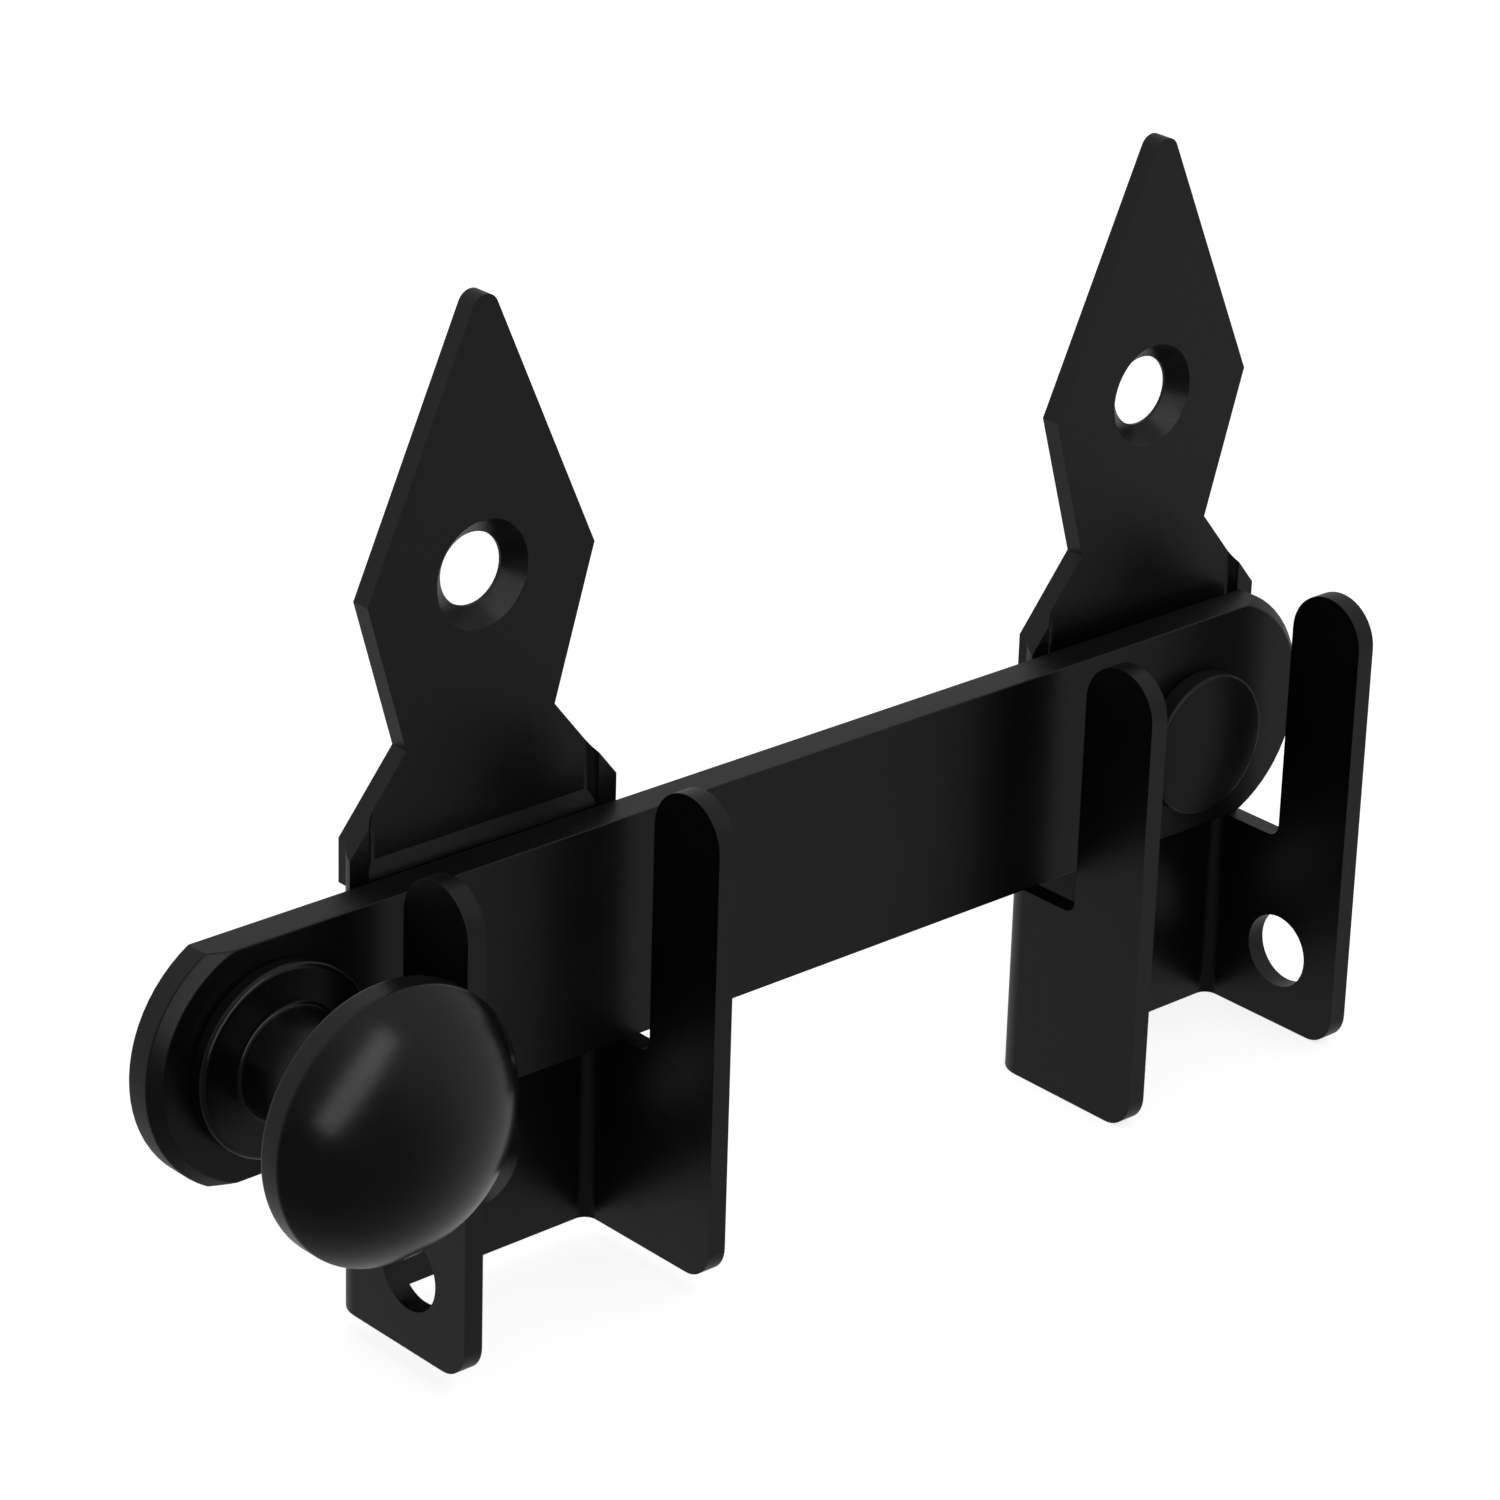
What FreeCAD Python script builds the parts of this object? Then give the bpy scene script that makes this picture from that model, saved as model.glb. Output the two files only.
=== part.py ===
import FreeCAD, Part
import math
import os

# A flip-over latch for a gate: a flat bar with a knob turns on a rivet in one folded bracket
# and drops into the slots of its mirror twin. X runs along the bar towards the rivet,
# Y points back into the gate, Z is up. The origin lies on the gate's face,
# midway between the two screw holes of the pivot bracket.
# All sizes are in millimetres.

# Folded sheet of the brackets
SHEET = 2.3
BEND_RADIUS = 1.5
BODY_WIDTH = 34.7
FINGER_DEPTH = 10.0
FLANGE_CORNER_RADIUS = 3.5
SLOT_CORNER_RADIUS = 1.5

# Spear shaped upper end of the brackets
BLADE_WIDTH = 28.9
BLADE_UPPER_HEIGHT = 31.7
BLADE_LOWER_HEIGHT = 16.5
TIP_RADIUS = 1.7
NECK_WIDTH = 19.1
FLARE_HEIGHT = 9.6

# Flat corners and crease where the blade meets the folded body
FLAT_CORNER_WIDTH = 32.6
FLAT_CORNER_DEPTH = 3.6
CREASE_BELOW_SHOULDER = 1.0
CREASE_HEIGHT = 1.9
CREASE_PROUD = 0.7

# Heights in a bracket, from its lower edge or from the bar
BAR_AXIS_HEIGHT = 38.6
SHOULDER_BELOW_BAR_TOP = 0.4
FINGER_ABOVE_BAR = 2.6

# Holes in the brackets
SCREW_HOLE_D = 7.8
SCREW_HEAD_D = 11.6
LOW_SCREW_HEIGHT = 11.6
PADLOCK_HOLE_D = 8.6
PADLOCK_EDGE_DISTANCE = 9.0

# Flat bar
BAR_HEIGHT = 25.4
BAR_THICKNESS = 4.0
BAR_END_BULGE = 2.0
BAR_END_CHAMFER = 1.2

# Rivet that the bar turns on
RIVET_OFFSET = 3.6
RIVET_BELOW_BAR_AXIS = 1.4
BAR_END_BEYOND_RIVET = 2.9
RIVET_D = 8.0
RIVET_HEAD_D = 16.4
RIVET_HEAD_HEIGHT = 3.3
RIVET_RIM_HEIGHT = 0.8
RIVET_SHOULDER_D = 13.6
RIVET_SHOULDER_HEIGHT = 2.4
RIVET_CROWN_D = 6.8
RIVET_TAIL_FLARE = 1.6
WASHER_D = 14.0
WASHER_THICKNESS = 1.9

# Knob and the screw that holds it from behind
KNOB_HEAD_D = 29.2
KNOB_DOME_HEIGHT = 8.8
KNOB_SHOULDER_RADIUS = 5.6
KNOB_RIM_HEIGHT = 1.8
KNOB_REACH = 27.6
KNOB_NECK_D = 12.0
KNOB_BASE_D = 20.8
KNOB_BASE_THICKNESS = 2.2
KNOB_NECK_LENGTH = 9.4
KNOB_BORE_CLEARANCE = 3.0
SCREW_D = 6.0
SCREW_GRIP = 10.0
SCREW_PAN_D = 11.5
SCREW_PAN_HEIGHT = 2.8
SCREW_RECESS_WIDTH = 1.2
SCREW_RECESS_LENGTH = 6.0
SCREW_RECESS_DEPTH = 1.4

# Distances along the bar
BRACKET_SPACING = 94.1
KNOB_BESIDE_KEEPER = 2.85

# Clearances
RUNNING = 0.05
BAR_SIDE_PLAY = 0.1
SLOT_BEHIND_BAR = 1.2
SLOT_BEFORE_BAR = 3.4
SLOT_UNDER_BAR_AT_RIVET = 3.0
SLOT_UNDER_BAR_AT_KEEPER = 0.4

# Places along Y, from the gate's face forwards
PLATE_FRONT = -SHEET
BAR_BACK = PLATE_FRONT - WASHER_THICKNESS - BAR_SIDE_PLAY
BAR_FRONT = BAR_BACK - BAR_THICKNESS
SLOT_BACK = BAR_BACK + SLOT_BEHIND_BAR
SLOT_FRONT = BAR_FRONT - SLOT_BEFORE_BAR
FLANGE_FRONT = SLOT_FRONT - FINGER_DEPTH

# Heights in a bracket, from its lower edge
BAR_TOP = BAR_AXIS_HEIGHT + BAR_HEIGHT / 2
SLOT_FLOOR = BAR_AXIS_HEIGHT - BAR_HEIGHT / 2 - SLOT_UNDER_BAR_AT_RIVET
SHOULDER = BAR_TOP - SHOULDER_BELOW_BAR_TOP
FINGER_TOP = BAR_TOP + FINGER_ABOVE_BAR
NECK = SHOULDER + FLARE_HEIGHT
BLADE_WIDEST = NECK + BLADE_LOWER_HEIGHT
BLADE_POINT = BLADE_WIDEST + BLADE_UPPER_HEIGHT
TOP_SCREW_HEIGHT = BLADE_WIDEST

# Places in the frame of the whole latch
PIVOT_FOOT_Z = -(TOP_SCREW_HEIGHT + LOW_SCREW_HEIGHT) / 2
KEEPER_FOOT_Z = PIVOT_FOOT_Z + SLOT_UNDER_BAR_AT_RIVET - SLOT_UNDER_BAR_AT_KEEPER
KEEPER_X = -BRACKET_SPACING
BAR_Z = PIVOT_FOOT_Z + BAR_AXIS_HEIGHT
RIVET_X = RIVET_OFFSET
RIVET_Z = BAR_Z - RIVET_BELOW_BAR_AXIS
BAR_END_X = RIVET_X + BAR_END_BEYOND_RIVET
KNOB_X = KEEPER_X - BODY_WIDTH / 2 - KNOB_BESIDE_KEEPER - KNOB_BASE_D / 2


def cylinder_y(radius, y_back, y_front, x=0.0, z=0.0):
    """Cylinder along Y from its back end to its front end."""
    start = FreeCAD.Vector(x, y_front, z)
    return Part.makeCylinder(radius, y_back - y_front, start, FreeCAD.Vector(0, 1, 0))


def cone_y(radius_back, radius_front, y_back, y_front, x=0.0, z=0.0):
    """Cone along Y from its back end to its front end."""
    start = FreeCAD.Vector(x, y_front, z)
    return Part.makeCone(radius_front, radius_back, y_back - y_front, start, FreeCAD.Vector(0, 1, 0))


def box_between(low, high):
    """Box from its low corner to its high corner."""
    size = [high[i] - low[i] for i in range(3)]
    return Part.makeBox(size[0], size[1], size[2], FreeCAD.Vector(*low))


def revolve_about_y(edges, x, z):
    """Solid of revolution from a closed outline in the XY plane, moved to its place."""
    face = Part.Face(Part.Wire(edges))
    solid = face.revolve(FreeCAD.Vector(0, 0, 0), FreeCAD.Vector(0, 1, 0), 360)
    solid.translate(FreeCAD.Vector(x, 0, z))
    return solid


def folded_channel():
    """The folded sheet before it is cut: a back plate with a flange along each side."""
    half = BODY_WIDTH / 2
    outer = box_between((-half, FLANGE_FRONT, 0), (half, 0, NECK))
    outer_edges = [e for e in outer.Edges if is_upright_at(e, half, 0)]
    outer = outer.makeFillet(BEND_RADIUS + SHEET, outer_edges)
    inner_half = half - SHEET
    inner = box_between((-inner_half, FLANGE_FRONT - SHEET, -SHEET), (inner_half, PLATE_FRONT, NECK + SHEET))
    inner_edges = [e for e in inner.Edges if is_upright_at(e, inner_half, PLATE_FRONT)]
    inner = inner.makeFillet(BEND_RADIUS, inner_edges)
    return outer.cut(inner)


def is_upright_at(edge, half_width, y):
    """True for an edge along Z at this distance from the centre plane and this Y."""
    ends = [v.Point for v in edge.Vertexes]
    on_line = all(abs(abs(p.x) - half_width) < 1e-6 and abs(p.y - y) < 1e-6 for p in ends)
    return on_line and abs(ends[0].z - ends[1].z) > 1e-6


def spear_outline():
    """Front outline of the back plate, from the foot to the rounded tip."""
    half_body = BODY_WIDTH / 2
    half_neck = NECK_WIDTH / 2
    half_blade = BLADE_WIDTH / 2
    half_angle = math.atan2(half_blade, BLADE_UPPER_HEIGHT)
    centre_z = BLADE_POINT - TIP_RADIUS / math.sin(half_angle)
    touch_x = TIP_RADIUS * math.cos(half_angle)
    touch_z = centre_z + TIP_RADIUS * math.sin(half_angle)
    right = [(half_body, 0), (half_body, SHOULDER), (half_neck, NECK), (half_blade, BLADE_WIDEST)]
    right.append((touch_x, touch_z))
    points = [FreeCAD.Vector(x, 0, z) for x, z in right]
    mirrored = [FreeCAD.Vector(-p.x, 0, p.z) for p in reversed(points)]
    tip = FreeCAD.Vector(0, 0, centre_z + TIP_RADIUS)
    edges = [Part.makeLine(a, b) for a, b in zip(points, points[1:])]
    edges.append(Part.Arc(points[-1], tip, mirrored[0]).toShape())
    edges += [Part.makeLine(a, b) for a, b in zip(mirrored, mirrored[1:])]
    edges.append(Part.makeLine(mirrored[-1], points[0]))
    return Part.Face(Part.Wire(edges))


def flange_outline():
    """Side outline of a flange: an open slot behind a round-topped finger."""
    lower = box_between((-BODY_WIDTH, FLANGE_FRONT, 0), (BODY_WIDTH, SLOT_BACK, SLOT_FLOOR))
    finger_radius = FINGER_DEPTH / 2
    finger_centre = FreeCAD.Vector(-BODY_WIDTH, FLANGE_FRONT + finger_radius, FINGER_TOP - finger_radius)
    finger = box_between(
        (-BODY_WIDTH, FLANGE_FRONT, SLOT_FLOOR), (BODY_WIDTH, SLOT_FRONT, FINGER_TOP - finger_radius)
    )
    finger_end = Part.makeCylinder(finger_radius, 2 * BODY_WIDTH, finger_centre, FreeCAD.Vector(1, 0, 0))
    outline = lower.fuse([finger, finger_end]).removeSplitter()
    foot = [e for e in outline.Edges if is_crosswise_at(e, FLANGE_FRONT, 0)]
    outline = outline.makeFillet(FLANGE_CORNER_RADIUS, foot)
    slot_corner = [e for e in outline.Edges if is_crosswise_at(e, SLOT_FRONT, SLOT_FLOOR)]
    return outline.makeFillet(SLOT_CORNER_RADIUS, slot_corner)


def is_crosswise_at(edge, y, z):
    """True for an edge along X at this Y and Z."""
    ends = [v.Point for v in edge.Vertexes]
    on_line = all(abs(p.y - y) < 1e-6 and abs(p.z - z) < 1e-6 for p in ends)
    return on_line and len(ends) == 2 and abs(ends[0].x - ends[1].x) > 1e-6


def screw_hole(height):
    """Countersunk hole through the back plate."""
    through = cylinder_y(SCREW_HOLE_D / 2, SHEET, PLATE_FRONT - SHEET, 0, height)
    sink_back = PLATE_FRONT + (SCREW_HEAD_D - SCREW_HOLE_D) / 2
    sink = cone_y(SCREW_HOLE_D / 2, SCREW_HEAD_D / 2, sink_back, PLATE_FRONT, 0, height)
    return through.fuse(sink)


def padlock_hole(side):
    """Round hole through one flange, low down and near its front edge."""
    start = FreeCAD.Vector(
        side * (BODY_WIDTH / 2 - 2 * SHEET), FLANGE_FRONT + PADLOCK_EDGE_DISTANCE, PADLOCK_EDGE_DISTANCE
    )
    return Part.makeCylinder(PADLOCK_HOLE_D / 2, 3 * SHEET, start, FreeCAD.Vector(side, 0, 0))


def crease():
    """Shallow ridge that the fold leaves across the front of the back plate, under the shoulders."""
    half = (FLAT_CORNER_WIDTH - SHEET) / 2
    top = SHOULDER - CREASE_BELOW_SHOULDER
    crest = top - CREASE_HEIGHT
    corners = [(PLATE_FRONT, top), (PLATE_FRONT - CREASE_PROUD, crest), (PLATE_FRONT, crest - CREASE_PROUD)]
    points = [FreeCAD.Vector(-half, y, z) for y, z in corners]
    return Part.Face(Part.makePolygon(points + points[:1])).extrude(FreeCAD.Vector(2 * half, 0, 0))


def bracket(padlock_side):
    """One folded bracket, standing on its lower edge at the gate's face."""
    blade_height = BLADE_POINT - NECK
    blank_half = max(BODY_WIDTH, BLADE_WIDTH) / 2
    blade = box_between((-blank_half, PLATE_FRONT, NECK), (blank_half, 0, NECK + blade_height))
    corner_half = FLAT_CORNER_WIDTH / 2
    flat = box_between((-corner_half, PLATE_FRONT, SHOULDER - FLAT_CORNER_DEPTH), (corner_half, 0, NECK))
    sheet = folded_channel().fuse([blade, flat, crease()]).removeSplitter()
    front_shape = spear_outline().extrude(FreeCAD.Vector(0, SLOT_BACK, 0))
    shape = sheet.common(front_shape.fuse(flange_outline()))
    holes = [screw_hole(TOP_SCREW_HEIGHT), screw_hole(LOW_SCREW_HEIGHT), padlock_hole(padlock_side)]
    return shape.cut(holes).removeSplitter()


def keeper_bracket():
    """The bracket that the bar drops into, with the padlock hole in its outer flange."""
    shape = bracket(-1)
    shape.translate(FreeCAD.Vector(KEEPER_X, 0, KEEPER_FOOT_Z))
    return shape


def pivot_bracket():
    """The mirror twin, with a hole for the rivet that is sunk at the back for its tail."""
    shape = bracket(1)
    shape.translate(FreeCAD.Vector(0, 0, PIVOT_FOOT_Z))
    through = cylinder_y(RIVET_D / 2 + RUNNING, SHEET, PLATE_FRONT - SHEET, RIVET_X, RIVET_Z)
    wide = RIVET_D / 2 + RUNNING + RIVET_TAIL_FLARE
    sink = cone_y(wide, RIVET_D / 2 + RUNNING, 0, -RIVET_TAIL_FLARE, RIVET_X, RIVET_Z)
    return shape.cut([through, sink])


def bar():
    """Flat bar with rounded ends, one about the knob, and a hole for the rivet below its centre line."""
    end_radius = BAR_HEIGHT / 2 + BAR_END_BULGE
    half = BAR_HEIGHT / 2
    corner = math.sqrt(end_radius**2 - half**2)
    left = KNOB_X - corner
    right = BAR_END_X + corner
    low_left = FreeCAD.Vector(left, BAR_FRONT, BAR_Z - half)
    high_left = FreeCAD.Vector(left, BAR_FRONT, BAR_Z + half)
    low_right = FreeCAD.Vector(right, BAR_FRONT, BAR_Z - half)
    high_right = FreeCAD.Vector(right, BAR_FRONT, BAR_Z + half)
    left_end = FreeCAD.Vector(KNOB_X - end_radius, BAR_FRONT, BAR_Z)
    right_end = FreeCAD.Vector(BAR_END_X + end_radius, BAR_FRONT, BAR_Z)
    edges = [
        Part.makeLine(low_left, low_right),
        Part.Arc(low_right, right_end, high_right).toShape(),
        Part.makeLine(high_right, high_left),
        Part.Arc(high_left, left_end, low_left).toShape(),
    ]
    shape = Part.Face(Part.Wire(edges)).extrude(FreeCAD.Vector(0, BAR_THICKNESS, 0))
    curved = [e for e in shape.Edges if hasattr(e.Curve, "Radius")]
    front_arcs = [e for e in curved if e.BoundBox.YMax < BAR_FRONT + RUNNING]
    shape = shape.makeChamfer(BAR_END_CHAMFER, front_arcs)
    rivet_hole = cylinder_y(RIVET_D / 2 + RUNNING, 0, BAR_FRONT - SHEET, RIVET_X, RIVET_Z)
    screw_clearance = cylinder_y(SCREW_D / 2 + RUNNING, 0, BAR_FRONT - SHEET, KNOB_X, BAR_Z)
    return shape.cut([rivet_hole, screw_clearance])


def pivot_washer():
    """Washer that holds the bar off the back plate."""
    disc = cylinder_y(WASHER_D / 2, PLATE_FRONT, PLATE_FRONT - WASHER_THICKNESS, RIVET_X, RIVET_Z)
    hole = cylinder_y(RIVET_D / 2 + RUNNING, 0, BAR_BACK, RIVET_X, RIVET_Z)
    return disc.cut(hole)


def pivot_rivet():
    """Rivet with a low bevelled dome in front and a tail spread flush into the back of the plate."""
    seat = BAR_FRONT - BAR_SIDE_PLAY
    shank = cylinder_y(RIVET_D / 2, 0, seat, RIVET_X, RIVET_Z)
    tail = cone_y(RIVET_D / 2 + RIVET_TAIL_FLARE, RIVET_D / 2, 0, -RIVET_TAIL_FLARE, RIVET_X, RIVET_Z)
    outline = [
        (0, 0), (RIVET_HEAD_D / 2, 0), (RIVET_HEAD_D / 2, RIVET_RIM_HEIGHT),
        (RIVET_SHOULDER_D / 2, RIVET_SHOULDER_HEIGHT), (RIVET_CROWN_D / 2, RIVET_HEAD_HEIGHT),
        (0, RIVET_HEAD_HEIGHT), (0, 0),
    ]
    points = [FreeCAD.Vector(radius, seat - height, 0) for radius, height in outline]
    head = revolve_about_y([Part.makeLine(p, q) for p, q in zip(points, points[1:])], RIVET_X, RIVET_Z)
    return shank.fuse([tail, head]).removeSplitter()


def knob():
    """Mushroom knob turned in one piece with its round base, with a blind hole for the screw."""
    base_front = BAR_FRONT - KNOB_BASE_THICKNESS
    rim_front = BAR_FRONT - KNOB_REACH + KNOB_DOME_HEIGHT
    rim_back = rim_front + KNOB_RIM_HEIGHT
    neck_front = base_front - KNOB_NECK_LENGTH
    base = KNOB_BASE_D / 2
    neck = KNOB_NECK_D / 2
    head = KNOB_HEAD_D / 2

    def at(radius, y):
        return FreeCAD.Vector(radius, y, 0)

    shoulder = KNOB_SHOULDER_RADIUS
    crown = (head**2 - 2 * head * shoulder + KNOB_DOME_HEIGHT**2) / (2 * (KNOB_DOME_HEIGHT - shoulder))
    apex = at(0, BAR_FRONT - KNOB_REACH)
    crown_centre_y = apex.y + crown
    turn = math.asin((head - shoulder) / (crown - shoulder))
    meeting = at(crown * math.sin(turn), crown_centre_y - crown * math.cos(turn))
    crown_middle = at(crown * math.sin(turn / 2), crown_centre_y - crown * math.cos(turn / 2))
    corners = [
        at(0, BAR_FRONT), at(base, BAR_FRONT), at(base, base_front), at(neck, base_front),
        at(neck, neck_front), at(head, rim_back), at(head, rim_front), meeting,
    ]
    edges = [Part.makeLine(p, q) for p, q in zip(corners, corners[1:])]
    edges.append(Part.Arc(meeting, crown_middle, apex).toShape())
    edges.append(Part.makeLine(apex, corners[0]))
    bore_end = BAR_FRONT - SCREW_GRIP - KNOB_BORE_CLEARANCE
    bore = cylinder_y(SCREW_D / 2 + RUNNING, BAR_FRONT, bore_end, KNOB_X, BAR_Z)
    return revolve_about_y(edges, KNOB_X, BAR_Z).cut(bore)


def knob_screw():
    """Pan head screw that comes through the bar from behind into the knob."""
    shank = cylinder_y(SCREW_D / 2, BAR_BACK, BAR_FRONT - SCREW_GRIP, KNOB_X, BAR_Z)
    pan = cylinder_y(SCREW_PAN_D / 2, BAR_BACK + SCREW_PAN_HEIGHT, BAR_BACK, KNOB_X, BAR_Z)
    recess_floor = BAR_BACK + SCREW_PAN_HEIGHT - SCREW_RECESS_DEPTH
    arms = []
    long, short = SCREW_RECESS_LENGTH / 2, SCREW_RECESS_WIDTH / 2
    for half_x, half_z in ((long, short), (short, long)):
        low = (KNOB_X - half_x, recess_floor, BAR_Z - half_z)
        high = (KNOB_X + half_x, recess_floor + SCREW_PAN_HEIGHT, BAR_Z + half_z)
        arms.append(box_between(low, high))
    return shank.fuse(pan).cut(arms).removeSplitter()


def main():
    """Write one file for each physical piece."""
    os.makedirs("parts", exist_ok=True)
    pieces = {
        "keeper_bracket": keeper_bracket(),
        "pivot_bracket": pivot_bracket(),
        "bar": bar(),
        "pivot_washer": pivot_washer(),
        "pivot_rivet": pivot_rivet(),
        "knob": knob(),
        "knob_screw": knob_screw(),
    }
    for name, shape in pieces.items():
        shape.exportStep(f"parts/{name}.step")
        box = shape.BoundBox
        print(
            name, shape.isValid(), len(shape.Solids), round(shape.Volume, 1),
            [round(v, 2) for v in (box.XMin, box.XMax, box.YMin, box.YMax, box.ZMin, box.ZMax)],
        )


main()
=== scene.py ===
"""Looks of a flip-over gate latch in satin black powder coat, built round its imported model.

Lengths are in millimetres, but those of the room are in metres: lamp, floor and the camera's reach.
X runs along the bar towards the rivet, Y points back into the gate and Z is up.
"""

import math

import bmesh
import bpy
from mathutils import Matrix, Vector


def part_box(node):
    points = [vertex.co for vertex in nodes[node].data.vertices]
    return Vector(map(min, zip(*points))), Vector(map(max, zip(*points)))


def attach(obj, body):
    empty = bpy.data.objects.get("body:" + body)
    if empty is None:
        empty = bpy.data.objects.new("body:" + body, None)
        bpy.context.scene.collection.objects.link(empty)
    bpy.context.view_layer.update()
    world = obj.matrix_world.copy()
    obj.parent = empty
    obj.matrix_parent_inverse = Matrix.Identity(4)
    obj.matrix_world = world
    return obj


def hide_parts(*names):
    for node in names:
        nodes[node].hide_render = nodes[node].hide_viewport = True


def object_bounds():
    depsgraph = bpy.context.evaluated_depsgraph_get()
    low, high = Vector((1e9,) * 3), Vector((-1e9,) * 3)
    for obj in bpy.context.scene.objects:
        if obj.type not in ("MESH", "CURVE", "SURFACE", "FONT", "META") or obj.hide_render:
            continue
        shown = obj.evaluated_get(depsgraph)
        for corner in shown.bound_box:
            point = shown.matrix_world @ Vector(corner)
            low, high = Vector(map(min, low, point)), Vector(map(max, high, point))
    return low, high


MM = 0.001
WHITE = (1.0, 1.0, 1.0, 1.0)

# The photograph's camera, solved from the latch's outlines. Angles are in degrees.
CAMERA_AZIMUTH = -42.354
CAMERA_ELEVATION = 24.085
CAMERA_ROLL = 1.767
CAMERA_TARGET = Vector((-55.617, 0.0, 4.867))
CAMERA_DISTANCE = 603.1
CAMERA_REACH = (0.01, 20.0)
SENSOR_WIDTH = 36.0
FOCAL_LENGTH_IN_PIXELS = 5726.9
PHOTO_WIDTH_IN_PIXELS = 1500.0

# The coating's colours
BLACK_FILM = (0.0014, 0.0014, 0.0015)
KNOB_FILM = (0.0026, 0.0026, 0.0027)
FIXING_FILM = (0.0050, 0.0050, 0.0051)

# The coating's textures: scale, detail and roughness of each noise
ORANGE_PEEL = (620.0, 2.0, 0.55)
FINE_GRAIN = (3600.0, 3.0, 0.6)
CLOUDS = (55.0, 4.0, 0.6)

# The bands of the noises that count, and how far the coating's colour, sheen and relief vary
COLOUR_BAND = (0.36, 0.64)
SHEEN_BAND = (0.3, 0.7)
LIGHTER_FILM = 1.5
DARKER_FILM = 0.8
CLOUDED_SHEEN = 0.03
GRAINED_SHEEN = 0.02
GRAIN_SHARE = 0.22
RELIEF_DEPTH = 0.06
RELIEF_STRENGTH = 0.35

# Rounding of sharp edges on the bare CAD nodes. Angles are in degrees.
BRACKET_EDGE = 0.30
BAR_EDGE = 0.40
WASHER_EDGE = 0.20
SCREW_EDGE = 0.15
EDGE_SEGMENTS = 3
FLAT_ANGLE = 0.6
SHARP_ANGLE = 28
WELD_DISTANCE = 0.001

# The weight of large faces in smooth shading, and the steps round a turned piece and along its dome
NORMALS_WEIGHT = 60
LATHE_SEGMENTS = 144
SHOULDER_STEPS = 14
CROWN_STEPS = 30

# The floor: a wide disc of glowing paper just under the latch's feet
FLOOR_RADIUS = 3.0
FLOOR_SEGMENTS = 96
FLOOR_CENTRE_X = -0.05
FLOOR_GAP = 0.0001
PAPER_GREY = (0.80, 0.80, 0.80, 1.0)
PAPER_GLOW = 0.78

# The room's light grows from its least to its greatest strength over this band towards its bright side
ROOM_BRIGHT_SIDE = (0.66, 0.66, 0.35)
ROOM_BAND = (-0.95, 0.35)
ROOM_STRENGTH = (0.10, 0.43)

# The lamp that gives the streak on the knob, with its power in watts
LAMP_AIM = Vector((-0.06, -0.01, 0.01))
LAMP_DIRECTION = Vector((-0.39, -0.74, 0.55))
LAMP_LONG_SIDE = Vector((0.80, 0.16, 0.58))
LAMP_DISTANCE = 0.9
LAMP_SIZE = (1.36, 0.25)
LAMP_POWER = 1.85


# Camera


def photo_camera():
    """Camera at the photograph's place: azimuth, elevation and roll about a target on the gate's face."""
    azimuth = math.radians(CAMERA_AZIMUTH)
    elevation = math.radians(CAMERA_ELEVATION)
    roll = math.radians(CAMERA_ROLL)
    back = Vector(
        (
            math.sin(azimuth) * math.cos(elevation),
            -math.cos(azimuth) * math.cos(elevation),
            math.sin(elevation),
        )
    )
    right = (-back).cross(Vector((0, 0, 1))).normalized()
    up = right.cross(-back)
    rolled_right = right * math.cos(roll) + up * math.sin(roll)
    rolled_up = up * math.cos(roll) - right * math.sin(roll)
    camera = bpy.data.objects.new("photo_camera", bpy.data.cameras.new("photo_camera"))
    bpy.context.scene.collection.objects.link(camera)
    rotation = Matrix((rolled_right, rolled_up, back)).transposed().to_4x4()
    place = CAMERA_TARGET * MM + back * (CAMERA_DISTANCE * MM)
    camera.matrix_world = Matrix.Translation(place) @ rotation
    camera.data.sensor_width = SENSOR_WIDTH
    camera.data.lens = SENSOR_WIDTH * FOCAL_LENGTH_IN_PIXELS / PHOTO_WIDTH_IN_PIXELS
    camera.data.clip_start, camera.data.clip_end = CAMERA_REACH
    bpy.context.scene.camera = camera


# Materials


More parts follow.
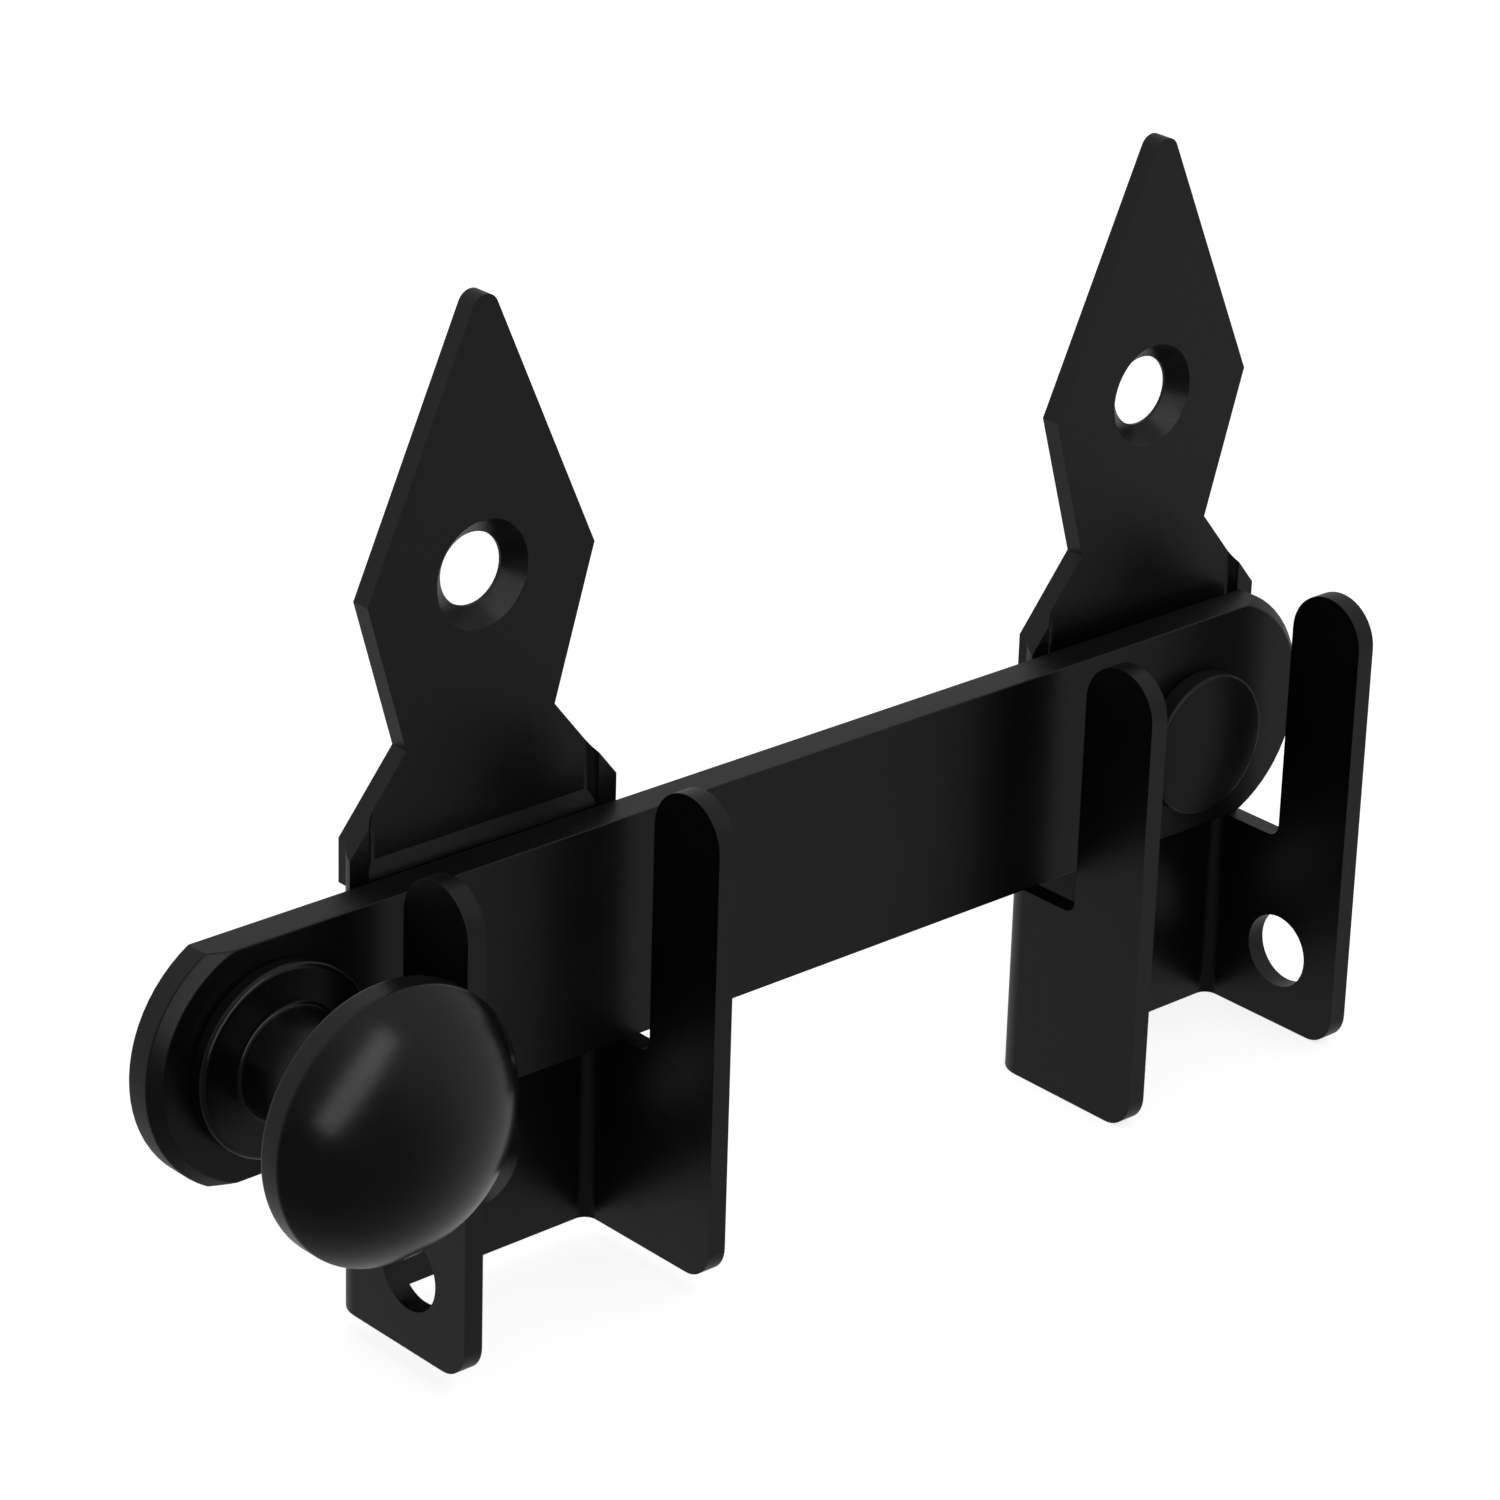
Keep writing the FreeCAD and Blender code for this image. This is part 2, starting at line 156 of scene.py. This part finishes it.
class Shading:
    """Short names for building the node tree of a material or a world."""

    def __init__(self, owner, output):
        owner.use_nodes = True
        self.tree = owner.node_tree
        self.tree.nodes.clear()
        self.output = self.add(output)

    def add(self, kind, **values):
        """A new node. Each value is set as the node's own property or as its input of that name."""
        node = self.tree.nodes.new(kind)
        for key, value in values.items():
            if hasattr(node, key):
                setattr(node, key, value)
            else:
                node.inputs[key].default_value = value
        return node

    def link(self, source, target):
        self.tree.links.new(source, target)

    def noise(self, coordinates, texture):
        """Noise between 0 and 1. The texture holds its scale, detail and roughness."""
        scale, detail, roughness = texture
        node = self.add("ShaderNodeTexNoise", Scale=scale, Detail=detail, Roughness=roughness)
        self.link(coordinates, node.inputs["Vector"])
        return node.outputs["Fac"]

    def band(self, value, low, high, to_low=0.0, to_high=1.0):
        """Maps value from low..high to to_low..to_high, smoothly and held at the ends."""
        node = self.add("ShaderNodeMapRange", interpolation_type="SMOOTHSTEP")
        self.link(value, node.inputs["Value"])
        node.inputs["From Min"].default_value = low
        node.inputs["From Max"].default_value = high
        node.inputs["To Min"].default_value = to_low
        node.inputs["To Max"].default_value = to_high
        return node.outputs["Result"]

    def total(self, first, second, share=1.0):
        """The first value plus a share of the second."""
        node = self.add("ShaderNodeMath", operation="MULTIPLY_ADD")
        self.link(second, node.inputs[0])
        node.inputs[1].default_value = share
        self.link(first, node.inputs[2])
        return node.outputs[0]

    def mix(self, factor, first, second):
        """A colour from first to second as the factor goes from 0 to 1."""
        node = self.add("ShaderNodeMix", data_type="RGBA")
        self.link(factor, node.inputs["Factor"])
        node.inputs["A"].default_value = (*first, 1.0)
        node.inputs["B"].default_value = (*second, 1.0)
        return node.outputs["Result"]

    def show(self, seen, unseen):
        """Ends the tree: the camera's own rays meet the seen shader, all others the unseen one."""
        path = self.add("ShaderNodeLightPath")
        choice = self.add("ShaderNodeMixShader")
        self.link(path.outputs["Is Camera Ray"], choice.inputs["Fac"])
        self.link(unseen.outputs[0], choice.inputs[1])
        self.link(seen.outputs[0], choice.inputs[2])
        self.link(choice.outputs["Shader"], self.output.inputs["Surface"])


def powder_coat(name, film, roughness, grain=1.0):
    """Satin black powder coat: orange peel and fine grain, with a faintly mottled colour and sheen."""
    material = bpy.data.materials.new(name)
    shading = Shading(material, "ShaderNodeOutputMaterial")
    place = shading.add("ShaderNodeTexCoord").outputs["Object"]
    peel = shading.noise(place, ORANGE_PEEL)
    fine = shading.noise(place, FINE_GRAIN)
    cloud = shading.noise(place, CLOUDS)

    lighter = tuple(c * LIGHTER_FILM for c in film)
    darker = tuple(c * DARKER_FILM for c in film)
    colour = shading.mix(shading.band(cloud, *COLOUR_BAND), darker, lighter)

    clouded = shading.band(cloud, *SHEEN_BAND, roughness - CLOUDED_SHEEN, roughness + CLOUDED_SHEEN)
    grained = shading.band(fine, *SHEEN_BAND, -GRAINED_SHEEN, GRAINED_SHEEN)
    sheen = shading.total(clouded, grained)

    height = shading.total(peel, fine, GRAIN_SHARE)
    bump = shading.add("ShaderNodeBump", Strength=RELIEF_STRENGTH * grain, Distance=RELIEF_DEPTH * MM)
    shading.link(height, bump.inputs["Height"])

    coat = shading.add("ShaderNodeBsdfPrincipled")
    shading.link(colour, coat.inputs["Base Color"])
    shading.link(sheen, coat.inputs["Roughness"])
    shading.link(bump.outputs["Normal"], coat.inputs["Normal"])
    shading.link(coat.outputs["BSDF"], shading.output.inputs["Surface"])
    return material


def assign(piece, material):
    """Gives the piece this material alone."""
    piece.data.materials.clear()
    piece.data.materials.append(material)


# Pieces


def shade_smooth(piece):
    """Smooth shading in which large faces count for more than small ones."""
    for polygon in piece.data.polygons:
        polygon.use_smooth = True
    normals = piece.modifiers.new("normals", "WEIGHTED_NORMAL")
    normals.weight = NORMALS_WEIGHT


def soften_edges(node, width):
    """Rounds the sharp edges of a CAD node's mesh with modifiers, so that they catch the light."""
    weld = node.modifiers.new("weld", "WELD")
    weld.merge_threshold = WELD_DISTANCE * MM
    flat = node.modifiers.new("flat", "DECIMATE")
    flat.decimate_type = "DISSOLVE"
    flat.angle_limit = math.radians(FLAT_ANGLE)
    bevel = node.modifiers.new("bevel", "BEVEL")
    bevel.width = width * MM
    bevel.segments = EDGE_SEGMENTS
    bevel.limit_method = "ANGLE"
    bevel.angle_limit = math.radians(SHARP_ANGLE)
    shade_smooth(node)


def arc(centre, radius, start, end, steps):
    """Points of a profile's arc. Angles are in degrees, 0 along the radius and 90 towards the front."""
    points = []
    for i in range(steps + 1):
        a = math.radians(start + (end - start) * i / steps)
        points.append((centre[0] + radius * math.cos(a), centre[1] + radius * math.sin(a)))
    return points


def dome(radius, rim, shoulder, tip):
    """Profile points from a rim, over a rounded shoulder and a wide crown, to the tip on the axis."""
    height = tip - rim
    crown = (radius**2 - 2 * radius * shoulder + height**2) / (2 * (height - shoulder))
    meeting = math.degrees(math.acos((radius - shoulder) / (crown - shoulder)))
    points = arc((radius - shoulder, rim), shoulder, 0, meeting, SHOULDER_STEPS)
    points += arc((0.0, tip - crown), crown, meeting, 90, CROWN_STEPS)[1:-1]
    return points + [(0.0, tip)]


def lathe(name, profile, centre):
    """A piece turned about a line along Y. The profile holds radius and distance forwards, from the back."""
    mesh = bmesh.new()
    rings = []
    for radius, forwards in profile:
        y = centre[1] - forwards
        if radius == 0:
            rings.append([mesh.verts.new(Vector((centre[0], y, centre[2])) * MM)])
            continue
        ring = []
        for i in range(LATHE_SEGMENTS):
            turn = 2 * math.pi * i / LATHE_SEGMENTS
            point = Vector((centre[0] + radius * math.cos(turn), y, centre[2] + radius * math.sin(turn)))
            ring.append(mesh.verts.new(point * MM))
        rings.append(ring)
    for lower, upper in zip(rings, rings[1:]):
        for i in range(LATHE_SEGMENTS):
            j = (i + 1) % LATHE_SEGMENTS
            corners = [ring[k % len(ring)] for ring, k in ((lower, i), (lower, j), (upper, j), (upper, i))]
            mesh.faces.new(list(dict.fromkeys(corners)))
    bmesh.ops.recalc_face_normals(mesh, faces=mesh.faces)
    data = bpy.data.meshes.new(name)
    mesh.to_mesh(data)
    mesh.free()
    piece = bpy.data.objects.new(name, data)
    bpy.context.scene.collection.objects.link(piece)
    shade_smooth(piece)
    return piece


def back_centre(node):
    """Middle of a turned node's back face, in millimetres."""
    low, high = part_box(node)
    middle = (low + high) / 2
    return middle.x / MM, high.y / MM, middle.z / MM


def turned_knob():
    """The mushroom knob: a round base, a waist and a domed head with a narrow rim."""
    base, base_height = 10.4, 2.2
    neck, neck_top = 6.0, 10.5
    head, rim_back, rim_front, tip = 14.6, 17.2, 19.2, 27.6
    back_round, base_round, neck_fillet = 0.5, 0.7, 0.6
    flare, rim_round, shoulder = 2.6, 0.7, 0.9
    underside = 33

    profile = [(0.0, 0.0)]
    profile += arc((base - back_round, back_round), back_round, -90, 0, 4)
    profile += arc((base - base_round, base_height - base_round), base_round, 0, 90, 6)
    profile += arc((neck + neck_fillet, base_height + neck_fillet), neck_fillet, 270, 180, 6)
    profile += arc((neck + flare, neck_top), flare, 180, 90 + underside, 8)
    profile += arc((head - rim_round, rim_back), rim_round, underside - 90, 0, 5)
    profile += dome(head, rim_front, shoulder, tip)
    return lathe("knob_turned", profile, back_centre("knob"))


def turned_rivet():
    """The pivot rivet: a spread tail flush with the back of the plate, a shank and a low soft dome."""
    shank, head, seat = 4.0, 8.2, 8.4
    rim_height, dome_height = 2.0, 3.3
    tail, tail_depth = 5.5, 1.6
    tail_chamfer, tail_drop, tail_fillet = 0.6, 0.08, 0.1
    seat_round, shoulder = 0.3, 0.5

    profile = [(0.0, 0.0), (tail - tail_chamfer, 0.0), (tail, tail_drop)]
    profile += [(shank + tail_fillet / 2, tail_depth), (shank, tail_depth + tail_fillet), (shank, seat)]
    profile += arc((head - seat_round, seat + seat_round), seat_round, -90, 0, 4)
    profile += dome(head, seat + rim_height, shoulder, seat + dome_height)
    return lathe("rivet_turned", profile, back_centre("pivot_rivet"))


# Surroundings


def white_floor():
    """A floor that only the camera sees, with the latch's shadow on it."""
    disc = bmesh.new()
    bmesh.ops.create_circle(disc, cap_ends=True, radius=FLOOR_RADIUS, segments=FLOOR_SEGMENTS)
    data = bpy.data.meshes.new("floor")
    disc.to_mesh(data)
    disc.free()
    floor = bpy.data.objects.new("floor", data)
    bpy.context.scene.collection.objects.link(floor)
    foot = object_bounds()[0].z
    floor.location = (FLOOR_CENTRE_X, 0.0, foot - FLOOR_GAP)

    material = bpy.data.materials.new("floor_paper")
    shading = Shading(material, "ShaderNodeOutputMaterial")
    paper = shading.add("ShaderNodeBsdfDiffuse", Color=PAPER_GREY)
    glow = shading.add("ShaderNodeEmission", Color=WHITE, Strength=PAPER_GLOW)
    bright = shading.add("ShaderNodeAddShader")
    shading.link(paper.outputs["BSDF"], bright.inputs[0])
    shading.link(glow.outputs["Emission"], bright.inputs[1])
    shading.show(seen=bright, unseen=shading.add("ShaderNodeBsdfTransparent"))
    assign(floor, material)


def pale_room():
    """A world that the camera sees as white and that lights the latch from behind and the right."""
    world = bpy.data.worlds.new("studio")
    bpy.context.scene.world = world
    shading = Shading(world, "ShaderNodeOutputWorld")
    direction = shading.add("ShaderNodeTexCoord").outputs["Generated"]
    facing = shading.add("ShaderNodeVectorMath", operation="DOT_PRODUCT")
    shading.link(direction, facing.inputs[0])
    facing.inputs[1].default_value = ROOM_BRIGHT_SIDE
    strength = shading.band(facing.outputs["Value"], *ROOM_BAND, *ROOM_STRENGTH)
    room = shading.add("ShaderNodeBackground", Color=WHITE)
    shading.link(strength, room.inputs["Strength"])
    white = shading.add("ShaderNodeBackground", Color=WHITE, Strength=1.0)
    shading.show(seen=white, unseen=room)


def key_light():
    """One long soft lamp above the camera, turned towards the latch. The room does the rest."""
    lamp = bpy.data.objects.new("key_light", bpy.data.lights.new("key_light", "AREA"))
    bpy.context.scene.collection.objects.link(lamp)
    lamp.data.shape = "RECTANGLE"
    lamp.data.size, lamp.data.size_y = LAMP_SIZE
    lamp.data.energy = LAMP_POWER
    towards = LAMP_DIRECTION.normalized()
    across = (LAMP_LONG_SIDE - towards * LAMP_LONG_SIDE.dot(towards)).normalized()
    upright = towards.cross(across)
    rotation = Matrix((across, upright, towards)).transposed().to_4x4()
    lamp.matrix_world = Matrix.Translation(LAMP_AIM + towards * LAMP_DISTANCE) @ rotation


# The latch


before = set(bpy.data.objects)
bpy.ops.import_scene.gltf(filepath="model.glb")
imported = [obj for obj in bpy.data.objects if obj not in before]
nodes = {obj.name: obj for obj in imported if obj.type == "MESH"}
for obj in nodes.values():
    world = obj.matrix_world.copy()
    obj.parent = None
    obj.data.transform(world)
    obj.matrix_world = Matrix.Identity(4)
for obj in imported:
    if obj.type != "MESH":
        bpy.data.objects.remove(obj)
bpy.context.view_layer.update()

photo_camera()

sheet_coat = powder_coat("sheet_coat", BLACK_FILM, roughness=0.36)
bar_coat = powder_coat("bar_coat", BLACK_FILM, roughness=0.38)
knob_coat = powder_coat("knob_coat", KNOB_FILM, roughness=0.23, grain=0.30)
fixing_coat = powder_coat("fixing_coat", FIXING_FILM, roughness=0.42, grain=0.5)

for name, edge, coat in (
    ("keeper_bracket", BRACKET_EDGE, sheet_coat),
    ("pivot_bracket", BRACKET_EDGE, sheet_coat),
    ("bar", BAR_EDGE, bar_coat),
    ("pivot_washer", WASHER_EDGE, fixing_coat),
    ("knob_screw", SCREW_EDGE, fixing_coat),
):
    soften_edges(nodes[name], edge)
    assign(nodes[name], coat)

knob = turned_knob()
assign(knob, knob_coat)
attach(knob, "swing_bar")
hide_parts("knob")

rivet = turned_rivet()
assign(rivet, fixing_coat)
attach(rivet, "brackets")
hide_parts("pivot_rivet")

white_floor()
pale_room()
key_light()
bpy.context.scene.view_settings.view_transform = "Standard"
